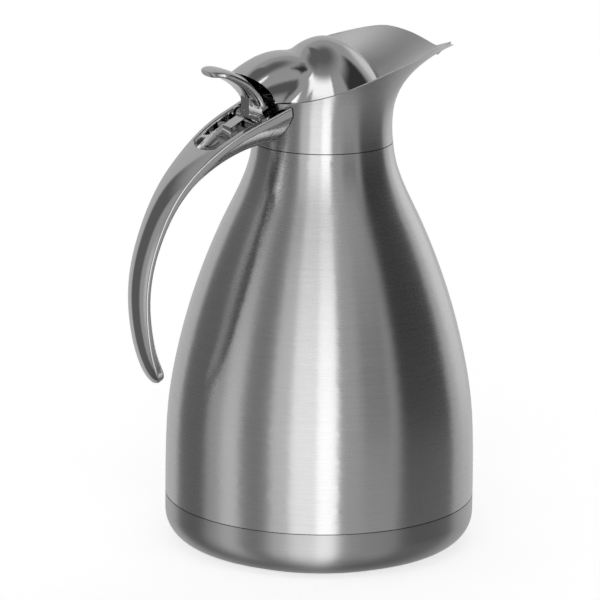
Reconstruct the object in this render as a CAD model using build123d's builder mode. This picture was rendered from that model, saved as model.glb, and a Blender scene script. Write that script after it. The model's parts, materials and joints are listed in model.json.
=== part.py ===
"""Insulated serving jug: a vacuum flask under a spouted steel collar, with a sprung thumb-lever lid.

Units are millimetres. The origin is the centre of the underside, +Z is up, the spout points to +X and
the handle to -X. The jug is symmetric about the XZ plane, apart from its lid spring.
"""

from build123d import *
from math import cos, exp, pi, radians, sin, sqrt, tan
import os

os.makedirs("parts", exist_ok=True)

# ---------------------------------------------------------------- driving dimensions: vacuum flask
body_radius = 75.0
base_seam_height = 24.5
flask_height = 173.5
shell_wall = 1.0
vacuum_gap = 6.5
liner_wall = 0.8
liner_floor_gap = 6.5
liner_corner_radius = 22.0
mouth_step = 3.6
neck_tube_height = 8.0
mouth_flare_height = 6.0
weld_lip = 1.0
shell_lap = 7.0
base_seam_gap = 0.5
fit_gap = 0.05

# the flask's wall between its seams: share of the way up, share of the way in to the neck
shoulder_outline = [(0.1441, 0.0073), (0.2594, 0.0363), (0.4035, 0.1380), (0.5476, 0.2954), (0.6916, 0.5085),
                    (0.8069, 0.7215), (0.8934, 0.8910), (0.9510, 0.9685)]

# ---------------------------------------------------------------- driving dimensions: base
cup_wall = 1.0
cup_corner_radius = 14.0
pad_thickness = 1.6
pad_inset = 2.0
pad_groove_inset = 9.0
pad_groove_width = 6.0
pad_groove_depth = 0.6
vacuum_plate_wall = 1.0
vacuum_plate_drop = 2.5
seal_plug_radius = 3.0
seal_plug_height = 2.4
getter_radius = 9.0
getter_height = 2.5
getter_offset = 32.0
spacer_inset = 3.0
spacer_width = 12.0

# ---------------------------------------------------------------- driving dimensions: collar and spout
collar_waist_radius = 33.2
collar_waist_rise = 7.0
collar_bore_wall = 0.6
collar_wall = 1.2
collar_foot_flare = 0.5
collar_seam_gap = 0.4
collar_form_height = 50.0
flare_reference = 39.5
flare_power = 2.65
flare_back = 10.0
flare_side = 11.0
flare_nose = 32.0
nose_decay = radians(16.8)
nose_rounding = radians(4.0)
nib_reach = 37.9
nib_rise = 42.0
nib_root_reach = 26.8
nib_root_rise = 38.7
nib_half_width = 6.0

# the rim's side view: how far along X, and how high above the neck seam
rim_outline = [(-44.0, 19.6), (-29.0, 23.6), (-14.0, 28.4), (3.0, 35.0), (18.0, 40.3),
               (36.0, 44.4), (48.0, 46.4), (55.0, 46.4), (60.5, 44.0), (64.5, 39.4), (67.0, 35.0)]

# ---------------------------------------------------------------- driving dimensions: neck sleeve
sleeve_height = 11.0
sleeve_wall = 3.0
neck_gasket_thickness = 1.0

# ---------------------------------------------------------------- driving dimensions: hinge
pin_reach = 6.3
pin_rise = 15.2
pin_radius = 1.5
pin_overhang = 1.0
pin_clearance = 0.05
lug_radius = 3.2
lug_inner_face = 11.2
lug_thickness = 1.4
clip_thickness = 0.5
clip_radius = 2.4
clip_groove_radius = 1.1
bracket_gap = 3.0
bracket_step_reach = 4.1
bracket_step_drop = 4.6
bracket_reach = 12.7
bracket_drop = 9.6
tongue_half_width = 4.0
tongue_reach = 5.5
tongue_rise = 0.4
tongue_fall = 3.4
bracket_screw_reach = 8.5
bracket_screw_side = 6.8
bracket_screw_radius = 1.0
bracket_screw_head = 1.9
bracket_screw_head_height = 1.1
bracket_screw_length = 3.4
screw_gap = 0.05

# ---------------------------------------------------------------- driving dimensions: handle
# stations along the handle's outer edge, from the hinge pin: x, z, half width, edge, crown, belly
handle_outline = [
    (15.5, 8.2, 20.2, 4.0, 1.0, 13.4),
    (3.2, 3.4, 19.0, 4.0, 1.0, 13.0),
    (-9.5, -2.3, 17.5, 3.4, 1.1, 10.4),
    (-20.5, -8.8, 15.6, 3.0, 1.3, 8.6),
    (-30.5, -16.8, 13.6, 3.0, 1.6, 6.4),
    (-39.5, -26.0, 12.1, 3.0, 2.0, 4.2),
    (-47.1, -37.0, 11.1, 2.6, 2.3, 2.0),
    (-54.1, -52.2, 10.4, 2.2, 2.4, 1.0),
    (-58.5, -67.2, 10.1, 2.0, 2.4, 0.8),
    (-60.1, -83.2, 9.9, 2.0, 2.4, 0.8),
    (-58.9, -98.7, 9.5, 2.4, 2.3, 0.8),
    (-55.9, -112.2, 8.6, 3.2, 2.0, 0.9),
    (-52.7, -120.2, 6.8, 3.6, 1.6, 0.9),
    (-51.1, -123.0, 3.8, 2.8, 1.0, 0.7),
]
trough_side_wall = 4.4
trough_floor_wall = 2.8
trough_stations = 5
trough_reach = 26.5
trough_end_bulge = 13.0
trough_headroom = 4.0
trough_rim_radius = 1.2
handle_edge_radius = 1.0
handle_gasket_thickness = 0.6
handle_screw_radius = 1.25
handle_screw_angle = radians(26.5)
handle_screw_rise = 3.5
handle_screw_bite = 3.8
screw_head_radius = 2.3
screw_head_height = 1.3
backing_plate_wall = 2.0
backing_plate_gap = 0.4
backing_plate_height = 6.6
backing_plate_half_angle = radians(36.0)

# ---------------------------------------------------------------- driving dimensions: thumb lever
# stations up the lever's front, from the hinge pin: x, z, half width, edge, crown, belly
lever_outline = [
    (3.6, 6.4, 10.4, 2.6, 0.4, 2.0),
    (1.9, 11.8, 10.5, 2.4, 0.5, 2.8),
    (-1.5, 16.2, 10.7, 2.2, 0.6, 3.2),
    (-6.5, 20.0, 10.9, 2.0, 0.6, 3.0),
    (-12.5, 22.9, 11.0, 2.0, 0.6, 2.4),
    (-18.5, 24.5, 10.4, 2.2, 0.6, 1.4),
    (-22.1, 24.3, 8.2, 2.3, 0.5, 0.8),
    (-24.1, 23.7, 4.0, 1.6, 0.3, 0.5),
]
lever_squareness = 2.6
hub_radius = 3.4
hub_end = -10.8
hub_spring_end = 4.0
rib_half_width = 4.0
rib_rear_reach = 3.0
rib_front_reach = 3.3
rib_rise = 10.2
foot_front = 0.5
foot_rise = 6.8
arm_half_width = 6.5
arm_rise = 2.2
arm_thickness = 2.4
arm_rear_reach = 0.5
arm_front = -7.0
bush_radius = 2.2
bush_flange_radius = 2.9
bush_flange = 0.3
bush_length = 5.5
spring_coil_radius = 2.5
spring_wire_radius = 0.4
spring_pitch = 1.1
spring_turns = 4
spring_gap = 0.6
spring_leg = 5.0

# ---------------------------------------------------------------- driving dimensions: lid
hood_gap = 1.95
dome_rise = 26.4
hood_wall = 1.2
hump_ridge_rise = 21.0
hump_ridge_x = -22.0
hump_fall = 0.0155
hump_half_width = 18.0
hump_squareness = 2.6
hump_taper = 0.12
hump_front = -8.0
hump_rear_reach = 12.5
hump_steps = 5
valley_radius = 12.0
opening_gap = 1.3
core_wall = 2.0
core_height = 10.1
core_floor = 2.5
core_gap = 1.4
core_flange = 2.0
core_flange_inset = 0.55
pedestal_front = -6.0
pedestal_rear = -22.0
pedestal_half_width = 8.5
arm_screw_places = [(-10.0, 0.0), (-18.0, 0.0)]
arm_screw_radius = 1.25
arm_screw_head = 2.3
arm_screw_head_height = 1.3
arm_screw_depth = 6.0
hinge_sweep_gap = 0.6

# ---------------------------------------------------------------- driving dimensions: stopper
stopper_gap = 0.6
stopper_taper = 1.6
stopper_depth = 9.7
stopper_wall = 1.5
stopper_flange = 1.0
stopper_flange_gap = 1.6
seal_thickness = 2.0
seal_gap = 0.6
seal_seat_gap = 0.1
stopper_post_radius = 4.0
foam_gap = 0.3
stopper_screw_radius = 1.6
stopper_screw_head = 3.2
stopper_screw_head_height = 2.0
stopper_screw_depth = 11.0
washer_radius = 5.2
washer_thickness = 0.8

# ---------------------------------------------------------------- points along the drawn curves
inset_steps = 14
collar_steps = 7
collar_degrees = (0, 5, 10, 16, 24, 35, 50, 70, 95, 125, 155, 180)
loop_steps = 20
arch_steps = 16

# ---------------------------------------------------------------- radii and reaches that follow
neck_seam_radius = collar_waist_radius + collar_foot_flare
collar_bore_radius = collar_waist_radius - collar_bore_wall
neck_tube_radius = collar_bore_radius - sleeve_wall
mouth_radius = neck_tube_radius - mouth_step
seat_radius = mouth_radius + liner_wall
shell_inner_lap_radius = body_radius - cup_wall - shell_wall
cup_flat_radius = body_radius - cup_corner_radius
pad_outer_radius = cup_flat_radius - pad_inset
spacer_outer_radius = cup_flat_radius - spacer_inset
stopper_top_radius = mouth_radius - stopper_gap
stopper_bottom_radius = stopper_top_radius - stopper_taper
stopper_flange_radius = neck_tube_radius - stopper_flange_gap
seal_outer_radius = neck_tube_radius - seal_gap
core_radius = neck_tube_radius - core_gap
dome_base_radius = collar_waist_radius - hood_gap
core_flange_radius = dome_base_radius - core_flange_inset
pin_x = -(collar_waist_radius + pin_reach)
lug_outer_face = lug_inner_face + lug_thickness
pin_half_length = lug_outer_face + pin_overhang
handle_screw_reach = collar_waist_radius + handle_screw_bite

# ---------------------------------------------------------------- heights that follow
neck_seam_height = base_seam_height + flask_height
neck_lip_height = neck_seam_height + neck_tube_height
sleeve_top_height = neck_seam_height + sleeve_height
collar_low = neck_seam_height + collar_seam_gap
collar_waist_height = neck_seam_height + collar_waist_rise
collar_form_top = neck_seam_height + collar_form_height
lap_low = base_seam_height - shell_lap
liner_floor_height = base_seam_height + liner_floor_gap
cup_floor_height = pad_thickness
cup_rim_height = base_seam_height - base_seam_gap
seal_low = sleeve_top_height + seal_seat_gap
stopper_flange_low = seal_low + seal_thickness
stopper_bottom_height = stopper_flange_low - stopper_depth
core_floor_height = stopper_flange_low + stopper_flange
core_floor_top = core_floor_height + core_floor
hood_base_height = core_floor_height + core_height
arm_low = hood_base_height + arm_rise
arm_high = arm_low + arm_thickness
pin_z = neck_seam_height + pin_rise
handle_screw_height = sleeve_top_height + handle_screw_rise
backing_plate_low = sleeve_top_height + backing_plate_gap
MIRROR_SIDES = (-1, 1)


def from_pin(outline):
    """Moves stations that are measured from the hinge pin to the jug's own frame."""
    return [(pin_x + x, pin_z + z, *shape) for x, z, *shape in outline]


handle_stations = from_pin(handle_outline)
lever_stations = from_pin(lever_outline)


def save(piece, name):
    """Labels a finished piece and writes it to its own file."""
    piece.label = name
    export_step(piece, f"parts/{name}.step")


def inset_points(curve, distance):
    """Points beside a curve in the XY sketch plane, on its left when distance is positive."""
    points = []
    for step in range(inset_steps + 1):
        along = curve % (step / inset_steps)
        points.append(curve @ (step / inset_steps) + Vector(-along.Y, along.X) * distance)
    return points


def upright_face(outline):
    """A face in the XZ plane, from a closed outline of (radius, height) points joined by straight lines."""
    with BuildSketch(Plane.XZ) as face:
        with BuildLine():
            Polyline(*outline, close=True)
        make_face()
    return face.sketch


def ring_face(inner, outer, low, high):
    """The upright face that turns into a plain ring, or a disc where the inner radius is zero."""
    return upright_face([(inner, low), (outer, low), (outer, high), (inner, high)])


# ================================================================ vacuum flask
flask_outline = [(body_radius, base_seam_height)]
flask_outline += [(body_radius + (neck_seam_radius - body_radius) * way_in,
                   base_seam_height + flask_height * way_up) for way_up, way_in in shoulder_outline]
flask_outline += [(neck_seam_radius, neck_seam_height)]
flask_curve = Spline(*flask_outline, tangents=[(0, 1), (-0.1, 1)], mode=Mode.PRIVATE)

with BuildPart() as outer_shell:
    with BuildSketch(Plane.XZ):
        with BuildLine():
            Spline(*flask_outline, tangents=[(0, 1), (-0.1, 1)])
            inner_wall = inset_points(flask_curve, shell_wall)
            neck_inner = neck_tube_radius - shell_wall
            Polyline((neck_seam_radius, neck_seam_height), (neck_tube_radius, neck_seam_height),
                     (neck_tube_radius, neck_lip_height), (neck_inner, neck_lip_height),
                     (neck_inner, neck_seam_height - shell_wall), inner_wall[-1])
            Spline(*inner_wall[1:])
            Polyline(inner_wall[1], (shell_inner_lap_radius, base_seam_height + shell_wall),
                     (shell_inner_lap_radius, lap_low), (shell_inner_lap_radius + shell_wall, lap_low),
                     (shell_inner_lap_radius + shell_wall, base_seam_height), flask_outline[0])
        make_face()
    revolve(axis=Axis.Z)
save(outer_shell.part, "outer_shell")

# the liner follows the shell at the vacuum gap, runs straight up the neck and flares to the shell's lip
liner_neck_radius = mouth_radius + liner_wall
liner_belly_radius = body_radius - shell_wall - vacuum_gap
liner_flat_radius = liner_belly_radius - liner_corner_radius
liner_corner_high = liner_floor_height + liner_corner_radius
liner_neck_low = neck_seam_height - 2 * shell_wall
liner_lip_radius = neck_tube_radius - shell_wall
lip_low = neck_lip_height - weld_lip
liner_side = [p for p in inset_points(flask_curve, shell_wall + vacuum_gap)
              if p.Y > liner_corner_high and p.X > liner_neck_radius + vacuum_gap / 2]
UPRIGHT = [(0, 1), (0, 1)]
liner_curve = Spline((liner_belly_radius, liner_corner_high), *liner_side,
                     (liner_neck_radius, liner_neck_low), tangents=UPRIGHT, mode=Mode.PRIVATE)
mouth_curve = Spline((liner_neck_radius, neck_lip_height - mouth_flare_height),
                     (liner_lip_radius, lip_low), tangents=UPRIGHT, mode=Mode.PRIVATE)
liner_inner = inset_points(liner_curve, liner_wall)
mouth_inner = inset_points(mouth_curve, liner_wall)

with BuildPart() as inner_liner:
    with BuildSketch(Plane.XZ):
        with BuildLine():
            Spline((liner_belly_radius, liner_corner_high), *liner_side,
                   (liner_neck_radius, liner_neck_low), tangents=UPRIGHT)
            Line(liner_curve @ 1, mouth_curve @ 0)
            Spline(mouth_curve @ 0, mouth_curve @ 1, tangents=UPRIGHT)
            Polyline(mouth_curve @ 1, (liner_lip_radius, neck_lip_height),
                     (liner_lip_radius - liner_wall, neck_lip_height), mouth_inner[-1])
            Spline(*mouth_inner)
            Line(mouth_inner[0], liner_inner[-1])
            Spline(*liner_inner)
            Line(liner_inner[0], (liner_belly_radius, liner_corner_high))
        make_face()
    revolve(axis=Axis.Z)
save(inner_liner.part, "inner_liner")

# the liner's dished floor, welded to the foot of its wall
with BuildPart() as liner_floor:
    with BuildSketch(Plane.XZ):
        with BuildLine():
            Line((0, liner_floor_height), (liner_flat_radius, liner_floor_height))
            RadiusArc((liner_flat_radius, liner_floor_height), (liner_belly_radius, liner_corner_high),
                      -liner_corner_radius)
            Line((liner_belly_radius, liner_corner_high), liner_inner[0])
            RadiusArc(liner_inner[0], (liner_flat_radius, liner_floor_height + liner_wall),
                      liner_corner_radius - liner_wall)
            Polyline((liner_flat_radius, liner_floor_height + liner_wall),
                     (0, liner_floor_height + liner_wall), (0, liner_floor_height))
        make_face()
    revolve(axis=Axis.Z)
save(liner_floor.part, "liner_floor")


# ================================================================ base
vacuum_plate_low = lap_low + vacuum_plate_drop
with BuildPart() as vacuum_plate:
    revolve(upright_face([(seal_plug_radius, vacuum_plate_low),
                          (shell_inner_lap_radius - vacuum_plate_wall, vacuum_plate_low),
                          (shell_inner_lap_radius - vacuum_plate_wall, lap_low),
                          (shell_inner_lap_radius, lap_low),
                          (shell_inner_lap_radius, vacuum_plate_low + vacuum_plate_wall),
                          (seal_plug_radius, vacuum_plate_low + vacuum_plate_wall)]), axis=Axis.Z)
save(vacuum_plate.part, "vacuum_plate")

plug_high = vacuum_plate_low + vacuum_plate_wall
with BuildPart() as seal_plug:
    revolve(upright_face([(0, plug_high - seal_plug_height), (seal_plug_radius, plug_high - seal_plug_height),
                          (seal_plug_radius, plug_high), (0, plug_high)]), axis=Axis.Z)
save(seal_plug.part, "seal_plug")

with BuildPart() as getter:
    with BuildSketch(Plane.XY.offset(plug_high)):
        with Locations((getter_offset, 0)):
            Circle(getter_radius)
    extrude(amount=getter_height)
    chamfer(getter.edges().group_by(Axis.Z)[-1], getter_height / 4)
save(getter.part, "getter")

cup_corner_top = cup_floor_height + cup_corner_radius
with BuildPart() as base_cup:
    with BuildSketch(Plane.XZ):
        with BuildLine():
            Polyline((body_radius - cup_wall, cup_rim_height), (body_radius, cup_rim_height),
                     (body_radius, cup_corner_top))
            RadiusArc((body_radius, cup_corner_top), (cup_flat_radius, cup_floor_height), cup_corner_radius)
            Polyline((cup_flat_radius, cup_floor_height), (0, cup_floor_height),
                     (0, cup_floor_height + cup_wall), (cup_flat_radius, cup_floor_height + cup_wall))
            RadiusArc((cup_flat_radius, cup_floor_height + cup_wall),
                      (body_radius - cup_wall, cup_corner_top), cup_wall - cup_corner_radius)
            Line((body_radius - cup_wall, cup_corner_top), (body_radius - cup_wall, cup_rim_height))
        make_face()
    revolve(axis=Axis.Z)
save(base_cup.part, "base_cup")

with BuildPart() as foot_pad:
    revolve(ring_face(0, pad_outer_radius, 0, pad_thickness), axis=Axis.Z)
    groove_outer_radius = pad_outer_radius - pad_groove_inset
    revolve(ring_face(groove_outer_radius - pad_groove_width, groove_outer_radius, 0, pad_groove_depth),
            axis=Axis.Z, mode=Mode.SUBTRACT)
save(foot_pad.part, "foot_pad")

with BuildPart() as base_spacer:
    revolve(ring_face(spacer_outer_radius - spacer_width, spacer_outer_radius,
                      cup_floor_height + cup_wall, vacuum_plate_low), axis=Axis.Z)
save(base_spacer.part, "base_spacer")


# ================================================================ collar with its spout
def flare_at(azimuth):
    """How far the collar has flared out at the reference height, at an angle from the spout's middle."""
    bend = sqrt(azimuth ** 2 + nose_rounding ** 2) - nose_rounding
    return flare_back + flare_side * (1 + cos(azimuth)) / 2 + flare_nose * exp(-bend / nose_decay)


def collar_radius(azimuth, height, inset):
    """The collar's radius at an angle and a height, drawn in by a wall measured square to the flare."""
    rise = max(0.0, height - collar_waist_height) / flare_reference
    below = max(0.0, collar_waist_height - height) / (collar_waist_height - neck_seam_height)
    waist = collar_waist_radius + (neck_seam_radius - collar_waist_radius) * below ** 2
    slope = flare_power * rise ** (flare_power - 1) * flare_at(azimuth) / flare_reference
    return waist + flare_at(azimuth) * rise ** flare_power - inset * sqrt(1 + slope ** 2)


def collar_section(height, inset):
    """The collar's closed outline at a height, with points crowded towards the spout's nose."""
    angles = [radians(degrees) for degrees in collar_degrees]
    angles += [-a for a in angles[-2:0:-1]]
    points = [(collar_radius(abs(a), height, inset) * cos(a),
               collar_radius(abs(a), height, inset) * sin(a)) for a in angles]
    with BuildSketch(Plane.XY.offset(height)) as section:
        with BuildLine():
            Spline(*points, periodic=True)
        make_face()
    return section.sketch


def collar_form(inset, low):
    """The collar's flaring form as one solid, from a low height up past its rim."""
    rise = (collar_form_top - low) / collar_steps
    heights = [low + rise * step for step in range(collar_steps + 1)]
    with BuildPart() as form:
        loft([collar_section(height, inset) for height in heights])
    return form.part


collar_outer = collar_form(0, collar_low)
collar_inner = collar_form(collar_wall, collar_low)
collar_grown = collar_form(-handle_gasket_thickness, collar_low)

rim_points = [(x, neck_seam_height + rise) for x, rise in rim_outline]
sky_height = collar_form_top + collar_wall
with BuildPart() as rim_cut:
    with BuildSketch(Plane.XZ):
        with BuildLine():
            Spline(*rim_points)
            Polyline(rim_points[-1], (2 * body_radius, rim_points[-1][1]), (2 * body_radius, sky_height),
                     (-2 * body_radius, sky_height), (-2 * body_radius, rim_points[0][1]), rim_points[0])
        make_face()
    extrude(amount=body_radius, both=True)

nib_root = collar_waist_radius + nib_root_reach
nib_tip = collar_waist_radius + nib_reach
nib_root_height = neck_seam_height + nib_root_rise
nib_tip_height = neck_seam_height + nib_rise
with BuildPart() as nib:
    with BuildSketch(Plane.XZ):
        with BuildLine():
            Polyline((nib_root, nib_root_height), (nib_tip, nib_tip_height),
                     (nib_tip, nib_tip_height - collar_wall / 2),
                     (nib_root, nib_root_height - collar_wall), close=True)
        make_face()
    extrude(amount=nib_half_width, both=True)
    with BuildSketch(Plane.XY.offset(nib_root_height - 2 * collar_wall)):
        with BuildLine():
            Polyline((nib_root, -nib_half_width), (nib_tip, 0), (nib_root, nib_half_width), close=True)
        make_face()
    extrude(amount=collar_form_height, mode=Mode.INTERSECT)

# ================================================================ neck sleeve and its gasket
gasket_high = neck_lip_height + neck_gasket_thickness
with BuildPart() as neck_sleeve:
    revolve(upright_face([(neck_tube_radius, neck_seam_height), (collar_bore_radius, neck_seam_height),
                          (collar_bore_radius, sleeve_top_height), (seat_radius, sleeve_top_height),
                          (seat_radius, gasket_high), (neck_tube_radius, gasket_high)]), axis=Axis.Z)
save(neck_sleeve.part, "neck_sleeve")
with BuildPart() as neck_gasket:
    revolve(ring_face(seat_radius + liner_wall, neck_tube_radius, neck_lip_height, gasket_high), axis=Axis.Z)
save(neck_gasket.part, "neck_gasket")


# ================================================================ handle
def strap_section(place, half_width, edge, crown, belly):
    """A strap's cross-section on a plane: a crowned top, square edges and a rounded belly."""
    with BuildSketch(place) as section:
        with BuildLine():
            ThreePointArc((-half_width, 0), (0, crown), (half_width, 0))
            Line((half_width, 0), (half_width, -edge))
            ThreePointArc((half_width, -edge), (0, -edge - belly), (-half_width, -edge))
            Line((-half_width, -edge), (-half_width, 0))
        make_face()
    return section.sketch


def rounded_section(place, half_width, edge, crown, belly):
    """A strap's cross-section with no sharp edges: a squarish oval of the same width and thickness."""
    half_thickness = (edge + crown + belly) / 2
    points = []
    for step in range(loop_steps):
        angle = 2 * pi * step / loop_steps
        across, up = cos(angle), sin(angle)
        size = (abs(across) ** lever_squareness + abs(up) ** lever_squareness) ** (-1 / lever_squareness)
        points.append((half_width * size * across, crown - half_thickness + half_thickness * size * up))
    with BuildSketch(place) as section:
        with BuildLine():
            Spline(*points, periodic=True)
        make_face()
    return section.sketch


def trough_section(place, half_width, edge, headroom, belly):
    """The cross-section of a trough: straight walls that run out above the strap, and a rounded floor."""
    with BuildSketch(place) as section:
        with BuildLine():
            Polyline((-half_width, -edge), (-half_width, headroom),
                     (half_width, headroom), (half_width, -edge))
            ThreePointArc((half_width, -edge), (0, -edge - belly), (-half_width, -edge))
        make_face()
    return section.sketch


def long_edges(part):
    """The four edges that run the length of a strap."""
    return part.edges().sort_by(SortBy.LENGTH)[-4:]


def station_plane(stations, index):
    """The plane square to a row of stations at one of them, with its Y axis pointing outwards."""
    before = stations[max(index - 1, 0)]
    after = stations[min(index + 1, len(stations) - 1)]
    here = stations[index]
    heading = Vector(after[0] - before[0], 0, after[1] - before[1])
    return Plane(origin=(here[0], 0, here[1]), x_dir=(0, -1, 0), z_dir=heading)


with BuildPart() as handle_form:
    loft([strap_section(station_plane(handle_stations, index), *station[2:])
          for index, station in enumerate(handle_stations)])
    fillet(long_edges(handle_form), handle_edge_radius)

trough_sections = []
for index, (x, z, half_width, edge, crown, belly) in enumerate(handle_stations[:trough_stations]):
    trough_sections.append(trough_section(station_plane(handle_stations, index),
                                          half_width - trough_side_wall, edge,
                                          crown + trough_headroom, belly - trough_floor_wall))

trough_end_reach = trough_reach - pin_x
with BuildPart() as trough:
    loft(trough_sections)
    with BuildSketch(Plane.XY.offset(neck_seam_height - 2 * trough_floor_wall)):
        with BuildLine():
            half = handle_stations[1][2]
            Polyline((trough_end_bulge - trough_end_reach, half), (0, half), (0, -half),
                     (trough_end_bulge - trough_end_reach, -half))
            ThreePointArc((trough_end_bulge - trough_end_reach, -half), (-trough_end_reach, 0),
                          (trough_end_bulge - trough_end_reach, half))
        make_face()
    extrude(amount=body_radius, mode=Mode.INTERSECT)


def radial_plane(side, reach):
    """A plane facing straight out from the Z axis at a handle screw, at a distance from the axis."""
    angle = pi - side * handle_screw_angle
    outward = Vector(cos(angle), sin(angle), 0)
    return Plane(origin=outward * reach + Vector(0, 0, handle_screw_height), z_dir=outward)


backing_inner_radius = collar_bore_radius - backing_plate_wall
bracket_base_height = pin_z - bracket_drop
screw_span = handle_screw_reach - backing_inner_radius
bracket_screw_places = [(pin_x - bracket_screw_reach, side * bracket_screw_side) for side in MIRROR_SIDES]

crown_place = station_plane(handle_stations, 1)
crown_face = handle_form.faces().sort_by_distance(crown_place.origin + crown_place.y_dir * trough_headroom)[0]

with BuildPart() as handle_with_hollow:
    add(handle_form.part)
    add(trough.part, mode=Mode.SUBTRACT)
    rim = [edge for edge in handle_with_hollow.edges(Select.LAST) if edge.center().X < pin_x
           and min(crown_face.distance_to(edge @ 0), crown_face.distance_to(edge @ 1)) < fit_gap]
    fillet(rim, trough_rim_radius)
    for side in MIRROR_SIDES:
        with BuildSketch(radial_plane(side, backing_inner_radius)):
            Circle(handle_screw_radius + screw_gap)
        extrude(amount=screw_span, mode=Mode.SUBTRACT)

with BuildPart() as handle:
    add(handle_with_hollow.part)
    add(collar_grown, mode=Mode.SUBTRACT)
    with BuildSketch(Plane.XY.offset(bracket_base_height)):
        with Locations(*bracket_screw_places):
            Circle(bracket_screw_radius + screw_gap)
    extrude(amount=-bracket_screw_length, mode=Mode.SUBTRACT)
save(handle.part, "handle")

with BuildPart() as handle_gasket:
    add(handle_with_hollow.part)
    add(collar_grown, mode=Mode.INTERSECT)
    add(collar_outer, mode=Mode.SUBTRACT)
save(handle_gasket.part, "handle_gasket")

with BuildPart() as handle_backing_plate:
    with BuildSketch(Plane.XY.offset(backing_plate_low)):
        Circle(body_radius)
        Circle(backing_inner_radius, mode=Mode.SUBTRACT)
        with BuildLine():
            spread = body_radius * tan(backing_plate_half_angle)
            Polyline((0, 0), (-body_radius, spread), (-body_radius, -spread), close=True)
        make_face(mode=Mode.INTERSECT)
    extrude(amount=backing_plate_height)
    add(collar_inner, mode=Mode.INTERSECT)
    for side in MIRROR_SIDES:
        with BuildSketch(radial_plane(side, 0)):
            Circle(handle_screw_radius + screw_gap)
        extrude(amount=handle_screw_reach, mode=Mode.SUBTRACT)
        with BuildSketch(radial_plane(side, backing_inner_radius)):
            Circle(screw_head_radius + screw_gap)
        extrude(amount=-screw_head_height, mode=Mode.SUBTRACT)
save(handle_backing_plate.part, "handle_backing_plate")

with BuildPart() as handle_screws:
    for side in MIRROR_SIDES:
        with BuildSketch(radial_plane(side, backing_inner_radius)):
            Circle(screw_head_radius)
        extrude(amount=-screw_head_height)
        with BuildSketch(radial_plane(side, backing_inner_radius)):
            Circle(handle_screw_radius)
        extrude(amount=screw_span)
save(handle_screws.part, "handle_screws")

# ================================================================ collar, drilled for the handle's screws
with BuildPart() as collar:
    add(collar_outer)
    add(collar_inner, mode=Mode.SUBTRACT)
    with BuildSketch(Plane.XY.offset(neck_seam_height)):
        Circle(collar_bore_radius)
    extrude(amount=sleeve_height, mode=Mode.SUBTRACT)
    add(rim_cut.part, mode=Mode.SUBTRACT)
    add(nib.part)
    for side in MIRROR_SIDES:
        with BuildSketch(radial_plane(side, 0)):
            Circle(handle_screw_radius + screw_gap)
        extrude(amount=handle_screw_reach, mode=Mode.SUBTRACT)
save(collar.part, "collar")


# ================================================================ hinge on the handle
def side_plate(outline, low, high):
    """A plate between two Y places, from a closed outline of (x, z) points."""
    with BuildPart() as plate:
        with BuildSketch(Plane.XZ.offset(-low)):
            with BuildLine():
                Polyline(*outline, close=True)
            make_face()
        extrude(amount=low - high)
    return plate.part


def pin_cylinder(radius, low, high):
    """A cylinder about the hinge pin's axis, between two Y places."""
    with BuildPart() as cylinder:
        with BuildSketch(Plane.XZ.offset(-low)):
            with Locations((pin_x, pin_z)):
                Circle(radius)
        extrude(amount=low - high)
    return cylinder.part


bracket_low = neck_seam_height
bracket_front = -(collar_waist_radius + bracket_gap)
bracket_step = pin_x - bracket_step_reach
bracket_rear = pin_x - bracket_reach
bracket_step_height = pin_z - bracket_step_drop
tongue_front = (pin_x - tongue_reach, pin_z + tongue_rise)
with BuildPart() as hinge_bracket:
    add(side_plate([(bracket_front, bracket_low), (bracket_front, bracket_step_height),
                    (bracket_step, bracket_step_height), (bracket_step, bracket_base_height),
                    (bracket_rear, bracket_base_height), (bracket_rear, bracket_low)],
                   -lug_outer_face, lug_outer_face))
    add(side_plate([(tongue_front[0], bracket_low), tongue_front, (bracket_rear, pin_z - tongue_fall),
                    (bracket_rear, bracket_low)], -tongue_half_width, tongue_half_width))
    for side in MIRROR_SIDES:
        low, high = sorted((side * lug_inner_face, side * lug_outer_face))
        add(side_plate([(pin_x - lug_radius, bracket_low), (pin_x - lug_radius, pin_z),
                        (pin_x + lug_radius, pin_z), (pin_x + lug_radius, bracket_low)], low, high))
        add(pin_cylinder(lug_radius, low, high))
    add(trough.part, mode=Mode.INTERSECT)
    add(pin_cylinder(pin_radius + fit_gap, -pin_half_length, pin_half_length), mode=Mode.SUBTRACT)
    with BuildSketch(Plane.XY.offset(bracket_base_height)):
        with Locations(*bracket_screw_places):
            Circle(bracket_screw_radius + screw_gap)
    extrude(amount=-bracket_screw_length, mode=Mode.SUBTRACT)
save(hinge_bracket.part, "hinge_bracket")

with BuildPart() as bracket_screws:
    with BuildSketch(Plane.XY.offset(bracket_base_height)):
        with Locations(*bracket_screw_places):
            Circle(bracket_screw_head)
    extrude(amount=bracket_screw_head_height)
    with BuildSketch(Plane.XY.offset(bracket_base_height)):
        with Locations(*bracket_screw_places):
            Circle(bracket_screw_radius)
    extrude(amount=-bracket_screw_length)
save(bracket_screws.part, "bracket_screws")

clip_near = lug_outer_face + fit_gap
with BuildPart() as hinge_pin:
    add(pin_cylinder(pin_radius, -pin_half_length, pin_half_length))
    for side in MIRROR_SIDES:
        low, high = sorted((side * clip_near, side * (clip_near + clip_thickness)))
        add(pin_cylinder(pin_radius, low, high), mode=Mode.SUBTRACT)
        add(pin_cylinder(clip_groove_radius, low, high))
save(hinge_pin.part, "hinge_pin")

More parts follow.
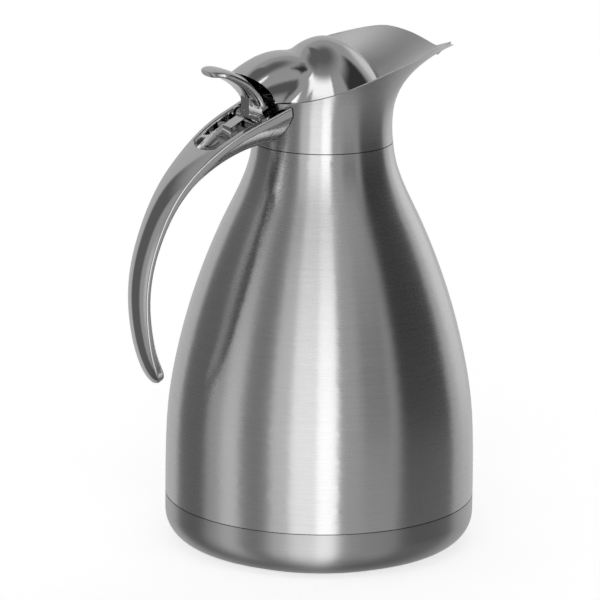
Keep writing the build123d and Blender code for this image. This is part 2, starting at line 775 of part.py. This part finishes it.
with BuildPart() as pin_clips:
    for side in MIRROR_SIDES:
        low, high = sorted((side * clip_near, side * (clip_near + clip_thickness)))
        add(pin_cylinder(clip_radius, low, high))
        add(pin_cylinder(clip_groove_radius, low, high), mode=Mode.SUBTRACT)
        slot_rear, slot_front = pin_x - clip_groove_radius, pin_x + clip_groove_radius
        slot_low = pin_z - 2 * clip_radius
        add(side_plate([(slot_rear, slot_low), (slot_rear, pin_z), (slot_front, pin_z), (slot_front, slot_low)],
                       low, high), mode=Mode.SUBTRACT)
save(pin_clips.part, "pin_clips")

# ================================================================ thumb lever and its spring
rib_rear, rib_front = pin_x - rib_rear_reach, pin_x + rib_front_reach
rib_top = pin_z + rib_rise
foot_rear, foot_top = pin_x + foot_front, pin_z + foot_rise
arm_rear = pin_x - arm_rear_reach
with BuildPart() as thumb_lever:
    loft([rounded_section(station_plane(lever_stations, index), *station[2:])
          for index, station in enumerate(lever_stations)])
    add(side_plate([(rib_rear, pin_z), (rib_rear, rib_top), (rib_front, rib_top), (rib_front, pin_z)],
                   -rib_half_width, rib_half_width))
    add(side_plate([(foot_rear, pin_z), (foot_rear, foot_top), (rib_front, foot_top), (rib_front, pin_z)],
                   hub_end, 0))
    add(side_plate([(arm_rear, arm_low), (arm_rear, arm_high), (arm_front, arm_high), (arm_front, arm_low)],
                   -arm_half_width, arm_half_width))
    add(pin_cylinder(hub_radius, hub_end, hub_spring_end))
    add(pin_cylinder(bush_radius, hub_end, hub_spring_end), mode=Mode.SUBTRACT)
    with BuildSketch(Plane.XY.offset(arm_low)):
        with Locations(*arm_screw_places):
            Circle(arm_screw_radius + screw_gap)
    extrude(amount=arm_thickness, mode=Mode.SUBTRACT)
save(thumb_lever.part, "thumb_lever")

with BuildPart() as hinge_bushes:
    for inner, outer in ((hub_end + bush_length, hub_end), (hub_spring_end - bush_length, hub_spring_end)):
        low, high = sorted((inner, outer))
        add(pin_cylinder(bush_radius, low, high))
        flange_low, flange_high = sorted((outer, outer + bush_flange * (1 if outer > inner else -1)))
        add(pin_cylinder(bush_flange_radius, flange_low, flange_high))
    add(pin_cylinder(pin_radius + pin_clearance, hub_end - bush_flange, hub_spring_end + bush_flange),
        mode=Mode.SUBTRACT)
save(hinge_bushes.part, "hinge_bushes")

spring_low = hub_spring_end + bush_flange + spring_gap
spring_length = spring_turns * spring_pitch
with BuildPart() as torsion_spring:
    with BuildLine():
        coil = Helix(pitch=spring_pitch, height=spring_length, radius=spring_coil_radius,
                     center=(pin_x, spring_low, pin_z), direction=(0, 1, 0))
    with BuildSketch(Plane(origin=coil @ 0, z_dir=coil % 0)):
        Circle(spring_wire_radius)
    sweep(is_frenet=True)
    for end, heading in ((0, -1), (1, 1)):
        with BuildSketch(Plane(origin=coil @ end, z_dir=(coil % end) * heading)):
            Circle(spring_wire_radius)
        extrude(amount=spring_leg)
save(torsion_spring.part, "torsion_spring")


# ================================================================ lid
def hump_section(x, inset):
    """The hump's closed arch at x, drawn in by a wall."""
    height = hump_ridge_rise - hump_fall * (x - hump_ridge_x) ** 2 - inset
    width = hump_half_width + hump_taper * min(0.0, x - hump_ridge_x) - inset
    points = []
    for step in range(arch_steps + 1):
        angle = pi * step / arch_steps
        across = abs(cos(angle) / width) ** hump_squareness
        reach = (across + (sin(angle) / height) ** hump_squareness) ** (-1 / hump_squareness)
        points.append((reach * cos(angle), hood_base_height + reach * sin(angle)))
    with BuildSketch(Plane.YZ.offset(x)) as section:
        with BuildLine():
            Spline(*points)
            Line(points[-1], points[0])
        make_face()
    return section.sketch


def hood_form(inset):
    """The hood as a solid: a turned dome, a hump that runs to the rear and a soft valley between them."""
    top = hood_base_height + dome_rise - inset
    base_radius = dome_base_radius - inset * dome_base_slant
    with BuildPart() as form:
        with BuildSketch(Plane.XZ):
            with BuildLine():
                Line((0, hood_base_height), (0, top))
                Bezier((0, top), (base_radius / 2, top), (base_radius, hood_base_height))
                Line((base_radius, hood_base_height), (0, hood_base_height))
            make_face()
        revolve(axis=Axis.Z)
        loft([hump_section(x, inset) for x in hump_places])
        valley = form.edges().filter_by(GeomType.BSPLINE).sort_by(SortBy.LENGTH)[-1]
        fillet(valley, valley_radius + inset)
    return form.part


dome_base_slant = sqrt(1 + (dome_base_radius / (2 * dome_rise)) ** 2)
hood_rear = pin_x - hump_rear_reach
hump_places = [hump_front + (hood_rear - hump_front) * step / hump_steps for step in range(hump_steps + 1)]

# the hood's rear opening keeps an even gap to the lever's front
lever_front = Spline(*[station[:2] for station in lever_stations], mode=Mode.PRIVATE)
opening_edge = inset_points(lever_front, -opening_gap)
with BuildPart() as opening_cut:
    with BuildSketch(Plane.XZ):
        with BuildLine():
            Spline(*opening_edge)
            Polyline(opening_edge[-1], (2 * hood_rear, opening_edge[-1].Y), (2 * hood_rear, pin_z),
                     (opening_edge[0].X, pin_z), opening_edge[0])
        make_face()
    extrude(amount=body_radius, both=True)

with BuildPart() as lid_hood:
    add(hood_form(0))
    add(hood_form(hood_wall), mode=Mode.SUBTRACT)
    add(opening_cut.part, mode=Mode.SUBTRACT)
save(lid_hood.part, "lid_hood")

# what swings past the collar's rear rim stays outside this radius from the pin
rim_rear_x = -collar_radius(pi, rim_points[1][1], collar_wall)
hinge_sweep_radius = sqrt((rim_rear_x - pin_x) ** 2 + (rim_points[1][1] - pin_z) ** 2) + hinge_sweep_gap
core_flange_low = hood_base_height - core_flange
with BuildPart() as lid_core:
    revolve(upright_face([(stopper_screw_radius + screw_gap, core_floor_height),
                (core_radius, core_floor_height),
                (core_radius, core_flange_low), (core_flange_radius, core_flange_low),
                (core_flange_radius, hood_base_height), (core_radius - core_wall, hood_base_height),
                (core_radius - core_wall, core_floor_top),
                (stopper_screw_radius + screw_gap, core_floor_top)]), axis=Axis.Z)
    add(side_plate([(pedestal_front, core_floor_top), (pedestal_front, arm_low), (pedestal_rear, arm_low),
                    (pedestal_rear, core_floor_top)], -pedestal_half_width, pedestal_half_width))
    with BuildSketch(Plane.XY.offset(arm_low)):
        with Locations(*arm_screw_places):
            Circle(arm_screw_radius + screw_gap)
    extrude(amount=-arm_screw_depth, mode=Mode.SUBTRACT)
    add(pin_cylinder(hinge_sweep_radius, -body_radius, body_radius), mode=Mode.SUBTRACT)
save(lid_core.part, "lid_core")

with BuildPart() as lever_screws:
    with BuildSketch(Plane.XY.offset(arm_high)):
        with Locations(*arm_screw_places):
            Circle(arm_screw_head)
    extrude(amount=arm_screw_head_height)
    with BuildSketch(Plane.XY.offset(arm_high)):
        with Locations(*arm_screw_places):
            Circle(arm_screw_radius)
    extrude(amount=-(arm_thickness + arm_screw_depth))
save(lever_screws.part, "lever_screws")

# ================================================================ stopper under the lid
stopper_floor_top = stopper_bottom_height + stopper_wall
screw_tip_height = core_floor_top + washer_thickness - stopper_screw_depth
with BuildPart() as stopper_cup:
    revolve(upright_face([(0, stopper_bottom_height), (stopper_bottom_radius, stopper_bottom_height),
                          (stopper_top_radius, stopper_flange_low),
                          (stopper_flange_radius, stopper_flange_low),
                          (stopper_flange_radius, core_floor_height),
                          (stopper_top_radius - stopper_wall, core_floor_height),
                          (stopper_bottom_radius - stopper_wall, stopper_floor_top),
                          (stopper_post_radius, stopper_floor_top), (stopper_post_radius, core_floor_height),
                          (stopper_screw_radius + screw_gap, core_floor_height),
                          (stopper_screw_radius + screw_gap, screw_tip_height - screw_gap),
                          (0, screw_tip_height - screw_gap)]), axis=Axis.Z)
save(stopper_cup.part, "stopper_cup")
foam_low = stopper_floor_top + foam_gap
foam_high = core_floor_height - foam_gap
with BuildPart() as stopper_foam:
    revolve(upright_face([(stopper_post_radius + foam_gap, foam_low),
                          (stopper_bottom_radius - stopper_wall - foam_gap, foam_low),
                          (stopper_top_radius - stopper_wall - 2 * foam_gap, foam_high),
                          (stopper_post_radius + foam_gap, foam_high)]), axis=Axis.Z)
save(stopper_foam.part, "stopper_foam")
with BuildPart() as stopper_seal:
    revolve(ring_face(stopper_top_radius, seal_outer_radius, seal_low, stopper_flange_low), axis=Axis.Z)
save(stopper_seal.part, "stopper_seal")
washer_high = core_floor_top + washer_thickness
with BuildPart() as screw_washer:
    washer_bore = stopper_screw_radius + screw_gap
    revolve(ring_face(washer_bore, washer_radius, core_floor_top, washer_high), axis=Axis.Z)
save(screw_washer.part, "screw_washer")
screw_head_top = washer_high + stopper_screw_head_height
with BuildPart() as stopper_screw:
    revolve(upright_face([(0, screw_tip_height), (stopper_screw_radius, screw_tip_height),
                          (stopper_screw_radius, washer_high), (stopper_screw_head, washer_high),
                          (stopper_screw_head, screw_head_top), (0, screw_head_top)]), axis=Axis.Z)
save(stopper_screw.part, "stopper_screw")
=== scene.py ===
"""Looks for an insulated steel serving jug with a sprung lid: finishes, studio and camera."""
import bpy
import json
from math import cos, degrees, radians, sin
from mathutils import Matrix, Vector


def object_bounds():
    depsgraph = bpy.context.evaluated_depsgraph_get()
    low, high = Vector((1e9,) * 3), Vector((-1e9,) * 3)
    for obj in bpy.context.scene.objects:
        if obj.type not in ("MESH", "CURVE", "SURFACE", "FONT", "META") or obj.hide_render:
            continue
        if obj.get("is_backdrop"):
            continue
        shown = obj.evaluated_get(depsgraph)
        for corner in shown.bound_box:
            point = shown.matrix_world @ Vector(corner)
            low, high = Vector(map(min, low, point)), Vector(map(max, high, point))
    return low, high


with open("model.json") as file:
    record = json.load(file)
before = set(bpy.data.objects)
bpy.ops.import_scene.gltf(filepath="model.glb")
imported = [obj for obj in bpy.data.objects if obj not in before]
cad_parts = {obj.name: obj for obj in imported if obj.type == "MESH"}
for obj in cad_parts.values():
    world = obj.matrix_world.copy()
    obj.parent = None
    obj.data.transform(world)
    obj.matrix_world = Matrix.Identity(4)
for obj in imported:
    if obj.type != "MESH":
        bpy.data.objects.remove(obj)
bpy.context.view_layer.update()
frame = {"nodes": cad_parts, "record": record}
nodes = frame["nodes"]


# ---------------------------------------------------------------- node helpers
def new_material(name):
    """A node material with a Principled shader; returns the material, its node tree and the shader."""
    material = bpy.data.materials.new(name)
    material.use_nodes = True
    tree = material.node_tree
    return material, tree, tree.nodes["Principled BSDF"]


def feed(tree, socket, value):
    """Sets an input to a number, vector or colour, or links an output to it."""
    if isinstance(value, tuple) and socket.type == "RGBA":
        value = (*value, 1.0)
    if isinstance(value, (int, float, tuple)):
        socket.default_value = value
    else:
        tree.links.new(value, socket)


def math_node(tree, operation, *values):
    """A Math node fed by numbers or outputs; returns its output."""
    node = tree.nodes.new("ShaderNodeMath")
    node.operation = operation
    for socket, value in zip(node.inputs, values):
        feed(tree, socket, value)
    return node.outputs[0]


def vector_node(tree, operation, *values):
    """A Vector Math node fed by vectors or outputs; returns its output."""
    node = tree.nodes.new("ShaderNodeVectorMath")
    node.operation = operation
    for socket, value in zip(node.inputs, values):
        feed(tree, socket, value)
    return node.outputs["Value" if operation == "DOT_PRODUCT" else "Vector"]


def smooth_step(tree, value, low, high, to_low=0.0, to_high=1.0):
    """A smooth ramp of an output from low to high; returns its output."""
    node = tree.nodes.new("ShaderNodeMapRange")
    node.interpolation_type = "SMOOTHSTEP"
    feed(tree, node.inputs["Value"], value)
    for name, number in (("From Min", low), ("From Max", high), ("To Min", to_low), ("To Max", to_high)):
        feed(tree, node.inputs[name], number)
    return node.outputs["Result"]


def mix(tree, kind, factor, first, second):
    """Mixes two values of a kind, FLOAT or RGBA, by a factor; returns the output."""
    node = tree.nodes.new("ShaderNodeMix")
    node.data_type = kind
    # the node keeps one pair of inputs and one output for each kind
    first_input, result = {"FLOAT": (2, 0), "RGBA": (6, 2)}[kind]
    feed(tree, node.inputs[0], factor)
    feed(tree, node.inputs[first_input], first)
    feed(tree, node.inputs[first_input + 1], second)
    return node.outputs[result]


def noise(tree, vector, scale, detail=3.0, roughness=0.5):
    """A noise texture read at a vector; returns its value, about 0.5 in the middle."""
    node = tree.nodes.new("ShaderNodeTexNoise")
    for name, value in (("Scale", scale), ("Detail", detail), ("Roughness", roughness), ("Vector", vector)):
        feed(tree, node.inputs[name], value)
    return node.outputs[0]


def object_place(tree):
    """The point's place on the object, in metres."""
    return tree.nodes.new("ShaderNodeTexCoord").outputs["Object"]


def round_place(tree):
    """The point's place unrolled about Z: its angle, radius and height."""
    split = tree.nodes.new("ShaderNodeSeparateXYZ")
    feed(tree, split.inputs[0], object_place(tree))
    x, y, z = split.outputs
    squares = [math_node(tree, "MULTIPLY", side, side) for side in (x, y)]
    angle = math_node(tree, "ARCTAN2", y, x)
    radius = math_node(tree, "SQRT", math_node(tree, "ADD", *squares))
    join = tree.nodes.new("ShaderNodeCombineXYZ")
    for socket, value in zip(join.inputs, (angle, radius, z)):
        feed(tree, socket, value)
    return join.outputs[0]


def inner_side(tree):
    """1 where the surface faces the Z axis, as inside a wall, and 0 where it faces away."""
    place = tree.nodes.new("ShaderNodeTexCoord")
    level_part = vector_node(tree, "MULTIPLY", place.outputs["Object"], (1.0, 1.0, 0.0))
    outward = vector_node(tree, "NORMALIZE", level_part)
    facing = vector_node(tree, "DOT_PRODUCT", outward, place.outputs["Normal"])
    return smooth_step(tree, facing, -0.2, 0.0, 1.0, 0.0)


def bump(tree, shader, height, distance):
    """Bumps a shader's surface by a height output, over a distance in metres."""
    node = tree.nodes.new("ShaderNodeBump")
    feed(tree, node.inputs["Distance"], distance)
    feed(tree, node.inputs["Height"], height)
    feed(tree, shader.inputs["Normal"], node.outputs[0])


def shade(tone, share):
    """A colour made lighter or darker by a share, and no brighter than white."""
    return tuple(min(1.0, channel * share) for channel in tone)


# ---------------------------------------------------------------- finishes
# brushing: noise cells per radian of turn, per metre of radius and per metre of height
fine_grain = (7.0, 900.0, 4200.0)
broad_grain = (2.0, 200.0, 1100.0)
fine_share = 0.65
wear_scale = 22.0
streak_roughness = 0.10
wear_roughness = 0.05
# polish: wiping marks, and the faint waves of orange peel
smear_stretch = (60.0, 180.0, 60.0)
smear_roughness = 0.06
smear_dulling = 0.95
peel_scale = 140.0
peel_depth = 6e-6
# moulding: clouds in the colour, and how far the grain moves the roughness
cloud_scale = 35.0
cloud_dark, cloud_light = 0.85, 1.12
grain_smoother, grain_rougher = 0.06, 0.08


def brushed_steel(name, tone, rough, along=0.96, streak=0.055, grain=2.5e-6, inner=None):
    """Steel brushed round the Z axis: streaks along the turn, and a highlight drawn out up and down.

    inner is the tone and roughness of a plain satin finish on the faces that look at the axis."""
    material, tree, shader = new_material(name)
    place = round_place(tree)
    fine = noise(tree, vector_node(tree, "MULTIPLY", place, fine_grain), 1.0, 3.0, 0.65)
    broad = noise(tree, vector_node(tree, "MULTIPLY", place, broad_grain), 1.0, 3.0, 0.55)
    wear = noise(tree, object_place(tree), wear_scale, 5.0, 0.6)
    streaks = math_node(tree, "ADD", math_node(tree, "MULTIPLY", fine, fine_share),
                        math_node(tree, "MULTIPLY", broad, 1 - fine_share))
    dull, bright = shade(tone, 1 - streak), shade(tone, 1 + streak)
    colour = mix(tree, "RGBA", smooth_step(tree, streaks, 0.3, 0.7), dull, bright)
    uneven = math_node(tree, "ADD", math_node(tree, "MULTIPLY", streaks, streak_roughness),
                       math_node(tree, "MULTIPLY", wear, wear_roughness))
    middle = (streak_roughness + wear_roughness) / 2
    roughness = math_node(tree, "ADD", uneven, rough - middle)
    if inner:
        inner_tone, inner_rough = inner
        inside = inner_side(tree)
        colour = mix(tree, "RGBA", inside, colour, inner_tone)
        roughness = mix(tree, "FLOAT", inside, roughness, inner_rough)
        streaks = mix(tree, "FLOAT", inside, streaks, 0.5)
    feed(tree, shader.inputs["Base Color"], colour)
    feed(tree, shader.inputs["Roughness"], roughness)
    feed(tree, shader.inputs["Metallic"], 1.0)
    feed(tree, shader.inputs["Anisotropic"], along)
    # a quarter turn sets the highlight across the brushing
    feed(tree, shader.inputs["Anisotropic Rotation"], 0.25)
    tangent = tree.nodes.new("ShaderNodeTangent")
    tangent.direction_type, tangent.axis = "RADIAL", "Z"
    feed(tree, shader.inputs["Tangent"], tangent.outputs[0])
    bump(tree, shader, streaks, grain)
    return material


def polished(name, tone, rough=0.035):
    """Polished chrome with faint wiping marks and a trace of orange peel."""
    material, tree, shader = new_material(name)
    place = object_place(tree)
    smears = noise(tree, vector_node(tree, "MULTIPLY", place, smear_stretch), 1.0, 5.0, 0.65)
    peel = noise(tree, place, peel_scale, 2.0, 0.4)
    colour = mix(tree, "RGBA", smears, shade(tone, smear_dulling), tone)
    roughness = smooth_step(tree, smears, 0.35, 0.8, rough, rough + smear_roughness)
    feed(tree, shader.inputs["Base Color"], colour)
    feed(tree, shader.inputs["Roughness"], roughness)
    feed(tree, shader.inputs["Metallic"], 1.0)
    bump(tree, shader, peel, peel_depth)
    return material


def moulded(name, tone, rough, grain_scale, grain=2e-5, metallic=0.0):
    """Moulded plastic, rubber or foam: a fine grain, and slight unevenness in colour and sheen."""
    material, tree, shader = new_material(name)
    place = object_place(tree)
    grains = noise(tree, place, grain_scale, 4.0, 0.6)
    cloud = noise(tree, place, cloud_scale)
    colour = mix(tree, "RGBA", cloud, shade(tone, cloud_dark), shade(tone, cloud_light))
    roughness = smooth_step(tree, grains, 0.2, 0.8, rough - grain_smoother, rough + grain_rougher)
    feed(tree, shader.inputs["Base Color"], colour)
    feed(tree, shader.inputs["Roughness"], roughness)
    feed(tree, shader.inputs["Metallic"], metallic)
    bump(tree, shader, grains, grain)
    return material


steel_tone = (0.60, 0.60, 0.605)
spout_inside = ((0.88, 0.88, 0.88), 0.42)
finishes = {
    "satin_steel": brushed_steel("satin_steel_brushed", steel_tone, 0.27),
    "collar_steel": brushed_steel("collar_steel_brushed", steel_tone, 0.27, inner=spout_inside),
    "core_plastic": moulded("core_plastic_gloss", (0.05, 0.05, 0.052), 0.22, 1800.0),
    "base_steel": brushed_steel("base_steel_brushed", (0.50, 0.50, 0.505), 0.33, 0.85),
    "liner_steel": brushed_steel("liner_steel_brushed", (0.60, 0.60, 0.60), 0.34),
    "polished_chrome": polished("chrome_polished", (0.57, 0.57, 0.575)),
    "screw_steel": brushed_steel("screw_steel_turned", (0.55, 0.55, 0.56), 0.25, 0.3),
    "spring_steel": brushed_steel("spring_steel_drawn", (0.42, 0.42, 0.44), 0.28, 0.3),
    "getter_metal": moulded("getter_metal_sintered", (0.34, 0.33, 0.32), 0.7, 900.0, 5e-5, 0.9),
    "black_plastic": moulded("black_plastic_fine", (0.022, 0.022, 0.024), 0.45, 1800.0),
    "white_plastic": moulded("white_plastic_turned", (0.72, 0.72, 0.70), 0.4, 1800.0),
    "seal_rubber": moulded("seal_rubber_matt", (0.03, 0.03, 0.032), 0.6, 1200.0),
    "foot_rubber": moulded("foot_rubber_matt", (0.025, 0.025, 0.027), 0.65, 900.0, 4e-5),
    "grey_foam": moulded("foam_closed_cell", (0.62, 0.62, 0.60), 0.8, 700.0, 2e-4),
}
# pieces whose finish is their own, within the material slot that the record gives them
own_finish = {"base_cup": "base_steel", "collar": "collar_steel", "lid_core": "core_plastic"}
node_slots = {entry["node"]: entry["material_slot"] for entry in frame["record"]["subparts"]}
for name, piece in nodes.items():
    finish = finishes[own_finish.get(name, node_slots[name])]
    for slot in piece.material_slots:
        slot.material = finish

# ---------------------------------------------------------------- studio
# Light and dark cards round the jug, by the compass direction and the height that they are seen at, in degrees:
# middle, half width and softness; lowest, highest and softness; level. A later card covers an earlier one.
# The camera stands at 240, so 60 is straight behind the jug, 150 is to its left and 330 to its right.
cards = [
    # behind: a grey card to the right with a paler one on it, then a pale card straight behind the jug
    (16.0, 26.0, 16.0, -90.0, 44.0, 5.0, 0.50),
    (24.0, 14.0, 8.0, -10.0, 34.0, 8.0, 0.88),
    (71.0, 37.0, 3.0, -90.0, 44.0, 5.0, 0.60),
    # left: a dark card, a dark ceiling over it, then a pale and a dull strip
    (128.0, 18.0, 4.0, -90.0, 36.0, 10.0, 0.16),
    (150.0, 52.0, 6.0, 52.0, 95.0, 6.0, 0.17),
    (170.0, 9.0, 5.0, -90.0, 14.0, 8.0, 0.78),
    (189.0, 10.0, 6.0, -90.0, 46.0, 6.0, 0.26),
    # front: a side strip, the soft box high above the camera and the two main strips
    (210.5, 7.5, 2.0, -90.0, 34.0, 5.0, 0.80),
    (240.0, 27.0, 3.0, 50.0, 62.5, 4.5, 1.60),
    (227.5, 9.5, 2.0, -90.0, 31.0, 5.0, 1.36),
    (246.0, 8.5, 1.5, -90.0, 31.0, 5.0, 1.85),
    # right: a grey card with a dark patch, then a dark card with a lighter foot
    (276.0, 21.0, 4.0, -90.0, 44.0, 6.0, 0.48),
    (284.0, 12.0, 5.0, -4.0, 20.0, 6.0, 0.14),
    (330.0, 27.0, 6.0, -90.0, 56.0, 8.0, 0.05),
    (330.0, 27.0, 6.0, -90.0, -12.0, 6.0, 0.24),
]
wall_level = 0.47
ceiling_level = 0.17
ceiling_starts, ceiling_full = 58.0, 82.0
# everything grows dimmer towards straight down
dimming_full, dimming_ends = -80.0, -28.0
dimming = 0.35

world = bpy.data.worlds.new("studio")
bpy.context.scene.world = world
world.use_nodes = True
sky = world.node_tree
direction = sky.nodes.new("ShaderNodeTexCoord").outputs["Generated"]
parts = sky.nodes.new("ShaderNodeSeparateXYZ")
feed(sky, parts.inputs[0], direction)
to_degrees = degrees(1.0)
compass = math_node(sky, "MULTIPLY", math_node(sky, "ARCTAN2", parts.outputs[1], parts.outputs[0]), to_degrees)
rise = math_node(sky, "MULTIPLY", math_node(sky, "ARCSINE", parts.outputs[2]), to_degrees)
level = smooth_step(sky, rise, ceiling_starts, ceiling_full, wall_level, ceiling_level)
for middle, half, edge, low, high, brink, brightness in cards:
    away = math_node(sky, "WRAP", math_node(sky, "SUBTRACT", compass, middle), 180.0, -180.0)
    across = smooth_step(sky, math_node(sky, "ABSOLUTE", away), half - edge, half + edge, 1.0, 0.0)
    above = smooth_step(sky, rise, low - brink, low + brink)
    below = smooth_step(sky, rise, high - brink, high + brink, 1.0, 0.0)
    mask = math_node(sky, "MULTIPLY", across, math_node(sky, "MULTIPLY", above, below))
    level = mix(sky, "FLOAT", mask, level, brightness)
level = math_node(sky, "MULTIPLY", level, smooth_step(sky, rise, dimming_full, dimming_ends, dimming, 1.0))
# the camera sees plain white behind the jug
seen = sky.nodes.new("ShaderNodeLightPath").outputs["Is Camera Ray"]
background = sky.nodes["Background"]
feed(sky, background.inputs["Strength"], mix(sky, "FLOAT", seen, level, 1.0))
feed(sky, background.inputs["Color"], (1.0, 1.0, 1.0))

# the floor: white where it is seen, with the jug's own soft shadow, and clear in reflections
floor_reach = 6.0
floor_tone = (0.8, 0.8, 0.8)
floor_glow = 0.66
corners = [(-floor_reach, -floor_reach, 0), (floor_reach, -floor_reach, 0),
           (floor_reach, floor_reach, 0), (-floor_reach, floor_reach, 0)]
floor_mesh = bpy.data.meshes.new("floor")
floor_mesh.from_pydata(corners, [], [(0, 1, 2, 3)])
floor = bpy.data.objects.new("floor", floor_mesh)
bpy.context.scene.collection.objects.link(floor)
paper, tree, shader = new_material("floor_paper")
feed(tree, shader.inputs["Base Color"], floor_tone)
feed(tree, shader.inputs["Roughness"], 0.9)
feed(tree, shader.inputs["Specular IOR Level"], 0.0)
paths = tree.nodes.new("ShaderNodeLightPath")
glow = tree.nodes.new("ShaderNodeEmission")
feed(tree, glow.inputs["Strength"], math_node(tree, "MULTIPLY", paths.outputs["Is Camera Ray"], floor_glow))
both = tree.nodes.new("ShaderNodeAddShader")
feed(tree, both.inputs[0], shader.outputs[0])
feed(tree, both.inputs[1], glow.outputs[0])
clear = tree.nodes.new("ShaderNodeBsdfTransparent")
reflected = tree.nodes.new("ShaderNodeMixShader")
for socket, value in zip(reflected.inputs, (paths.outputs["Is Glossy Ray"], both.outputs[0], clear.outputs[0])):
    feed(tree, socket, value)
feed(tree, tree.nodes["Material Output"].inputs["Surface"], reflected.outputs[0])
floor_mesh.materials.append(paper)
floor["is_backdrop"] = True

# ---------------------------------------------------------------- camera
camera_place = Vector((-0.9359, -1.6210, 0.5942))
camera_turn, camera_pitch, camera_yaw, camera_roll = 30.0, 14.240, -0.309, 0.542
pitch, yaw, roll = radians(camera_pitch), radians(camera_yaw), radians(camera_roll)
forward = Vector((sin(yaw) * cos(pitch), cos(yaw) * cos(pitch), -sin(pitch)))
level_right = Vector((cos(yaw), -sin(yaw), 0.0))
level_up = level_right.cross(forward)
right = cos(roll) * level_right + sin(roll) * level_up
up = -sin(roll) * level_right + cos(roll) * level_up
axes = Matrix((right, up, -forward)).transposed()
spin = Matrix.Rotation(radians(-camera_turn), 3, "Z")
camera_data = bpy.data.cameras.new("camera")
camera_data.sensor_width = 36.0
camera_data.lens = 240.0
camera_data.clip_end = 50.0
camera = bpy.data.objects.new("camera", camera_data)
bpy.context.scene.collection.objects.link(camera)
camera.matrix_world = Matrix.Translation(camera_place) @ (spin @ axes).to_4x4()
bpy.context.scene.camera = camera
bpy.context.scene.view_settings.view_transform = "Standard"

low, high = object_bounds()
